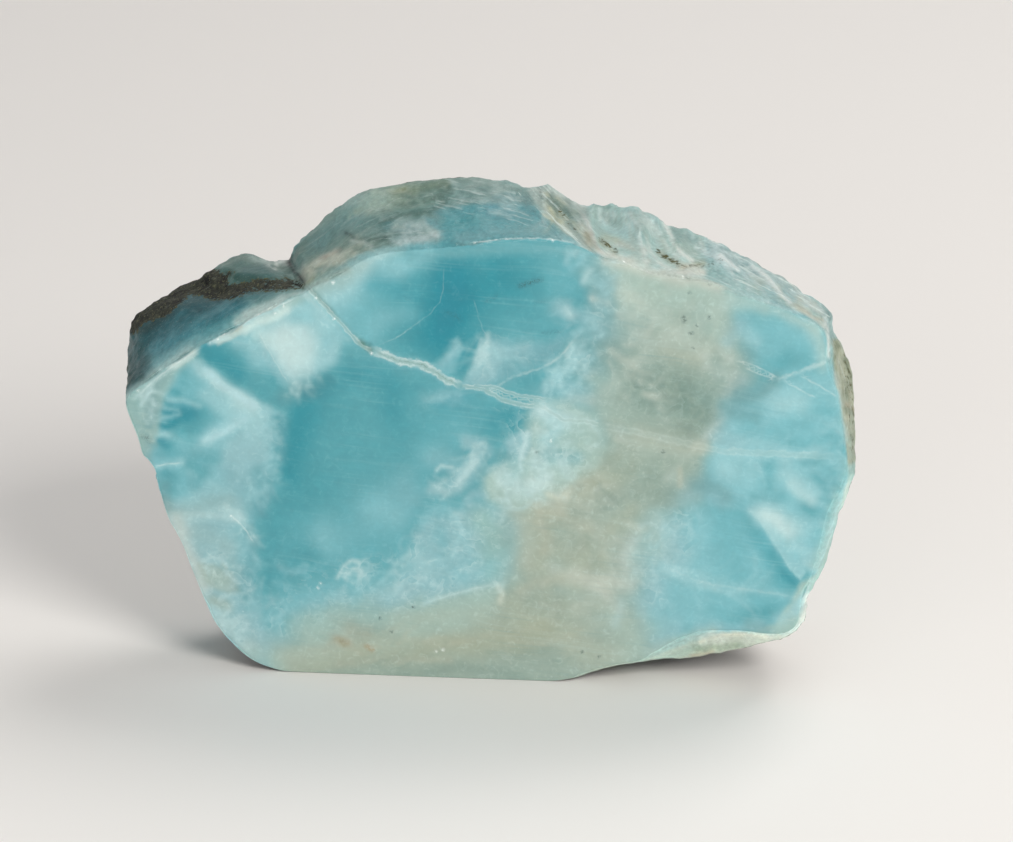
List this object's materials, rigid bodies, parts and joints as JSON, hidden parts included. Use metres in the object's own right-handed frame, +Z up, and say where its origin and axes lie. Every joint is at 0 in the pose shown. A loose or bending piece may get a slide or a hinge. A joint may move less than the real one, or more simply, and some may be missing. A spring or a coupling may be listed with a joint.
{
  "type": "rough larimar stone",
  "caption": "Chunk of blue larimar standing on a flat of its lower edge, sawn flat in front and broken or weathered on its rim and back.",
  "frame": {"origin": "on the surface the stone stands on, under the middle of its bounding box", "axes": "+X to the right along the sawn face, the longest way; +Y from the sawn face to the rough back, the shortest way; +Z up"},
  "size_m": [0.0756, 0.0202, 0.0488],
  "materials": {
    "larimar": "waxy sawn face, blue with white clouds and veins; broken rim with patches of brown and olive matrix"
  },
  "bodies": {
    "root": {"larimar_stone": "larimar"}
  },
  "joints": []
}
